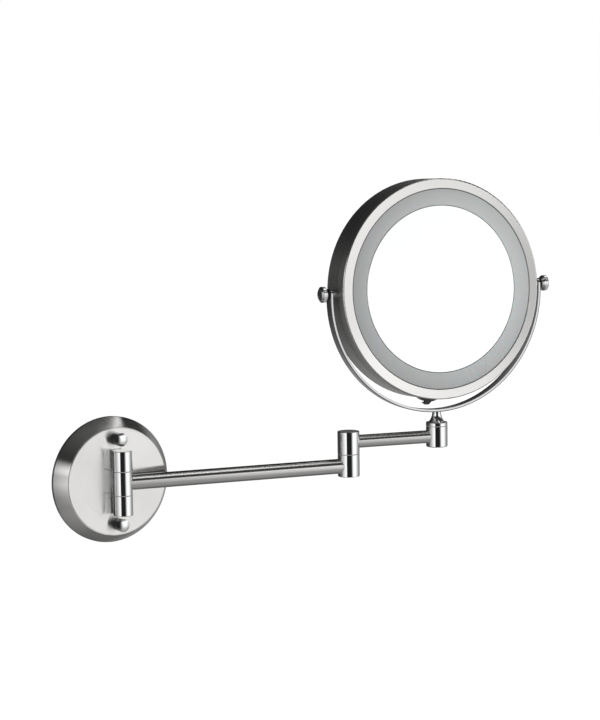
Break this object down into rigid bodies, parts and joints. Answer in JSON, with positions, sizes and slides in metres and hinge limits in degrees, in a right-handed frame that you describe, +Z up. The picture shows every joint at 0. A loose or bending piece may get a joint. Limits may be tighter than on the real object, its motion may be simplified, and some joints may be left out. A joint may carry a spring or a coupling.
{
  "type": "extendable wall shaving mirror",
  "caption": "Round lighted shaving mirror, double sided, held in a tilting yoke on a folding two-part arm that swings from a dished wall cover.",
  "frame": {"origin": "middle of the wall bracket's back face, on the wall", "axes": "+X to the right along the wall, +Y into the wall, +Z up; the mirror stands out into the room towards -Y"},
  "size_m": [0.4218, 0.0906, 0.2818],
  "materials": {
    "brushed_nickel": "nickel plate brushed in one direction",
    "polished_chrome": "turned and polished, chrome plated",
    "zinc_steel": "zinc plated",
    "nylon": "moulded nylon",
    "brass": "turned",
    "frosted_acrylic": "frosted, lets light through",
    "mirror_glass": "silvered glass",
    "foam_pad": "adhesive foam",
    "white_plastic": "moulded",
    "grey_plastic": "moulded",
    "black_plastic": "moulded, satin",
    "circuit_board": "white solder mask",
    "led": "phosphor resin",
    "battery_sleeve": "printed film without marks",
    "wire_insulation": "soft insulation"
  },
  "bodies": {
    "wall_mount": {"wall_bracket": "zinc_steel", "bracket_studs": "zinc_steel", "wall_cover": "brushed_nickel", "cap_nuts": "polished_chrome", "hinge_knuckle_top": "polished_chrome", "hinge_knuckle_bottom": "polished_chrome", "knuckle_screws": "zinc_steel", "wall_hinge_bolt": "zinc_steel", "wall_hinge_washers": "nylon"},
    "long_arm": {"arm_knuckle": "polished_chrome", "long_arm_tube": "brushed_nickel", "elbow_lower_knuckle": "polished_chrome", "elbow_washer": "nylon"},
    "short_arm": {"elbow_upper_knuckle": "polished_chrome", "elbow_bolt": "zinc_steel", "short_arm_tube": "brushed_nickel", "wrist_socket": "polished_chrome"},
    "yoke": {"swivel_post": "polished_chrome", "wrist_washer": "nylon", "wrist_retainer": "zinc_steel", "yoke_strap": "polished_chrome", "strap_screw": "zinc_steel", "pivot_washers": "nylon"},
    "head": {"head_band": "brushed_nickel", "head_frame": "grey_plastic", "front_bezel": "brushed_nickel", "light_ring": "frosted_acrylic", "front_mirror": "mirror_glass", "mirror_pad": "foam_pad", "mirror_carrier": "white_plastic", "carrier_screws": "zinc_steel", "led_board": "circuit_board", "led_chips": "led", "battery_holder": "grey_plastic", "batteries": "battery_sleeve", "battery_springs": "zinc_steel", "battery_contacts": "zinc_steel", "led_wires": "wire_insulation", "switch_body": "black_plastic", "switch_surround": "black_plastic", "pivot_spacers": "polished_chrome", "pivot_inserts": "brass"},
    "left_knob": {"thumb_screw_left": "polished_chrome"},
    "right_knob": {"thumb_screw_right": "polished_chrome"},
    "switch": {"switch_lever": "black_plastic"},
    "rear_cover": {"rear_bezel": "brushed_nickel", "magnifying_mirror": "mirror_glass", "rear_carrier": "white_plastic"}
  },
  "joints": [
    {"name": "arm_swing", "type": "hinge", "parent": "wall_mount", "child": "long_arm", "pos_m": [0, -0.02385, 0], "axis": [0, 0, 1], "range_deg": [-170.74, 9.26]},
    {"name": "elbow_swing", "type": "hinge", "parent": "long_arm", "child": "short_arm", "pos_m": [0.1895, -0.05475, 0], "axis": [0, 0, 1], "continuous": true},
    {"name": "yoke_swivel", "type": "hinge", "parent": "short_arm", "child": "yoke", "pos_m": [0.26592, -0.06985, 0.0194], "axis": [0, 0, 1], "continuous": true},
    {"name": "mirror_tilt", "type": "hinge", "parent": "yoke", "child": "head", "pos_m": [0.26592, -0.06985, 0.1411], "axis": [0.9953, -0.0971, 0], "continuous": true},
    {"name": "left_knob_turn", "type": "hinge", "parent": "head", "child": "left_knob", "pos_m": [0.16749, -0.06025, 0.1411], "axis": [0.9953, -0.0971, 0], "range_deg": [-360, 0]},
    {"name": "right_knob_turn", "type": "hinge", "parent": "head", "child": "right_knob", "pos_m": [0.36435, -0.07945, 0.1411], "axis": [0.9953, -0.0971, 0], "range_deg": [0, 360]},
    {"name": "switch_slide", "type": "slide", "parent": "head", "child": "switch", "axis": [0.9953, -0.0971, 0], "range_m": [0, 0.005]},
    {"name": "rear_cover_twist", "type": "hinge", "parent": "head", "child": "rear_cover", "pos_m": [0.26592, -0.06985, 0.1411], "axis": [-0.097, -0.9945, 0.0405], "range_deg": [0, 20]}
  ]
}
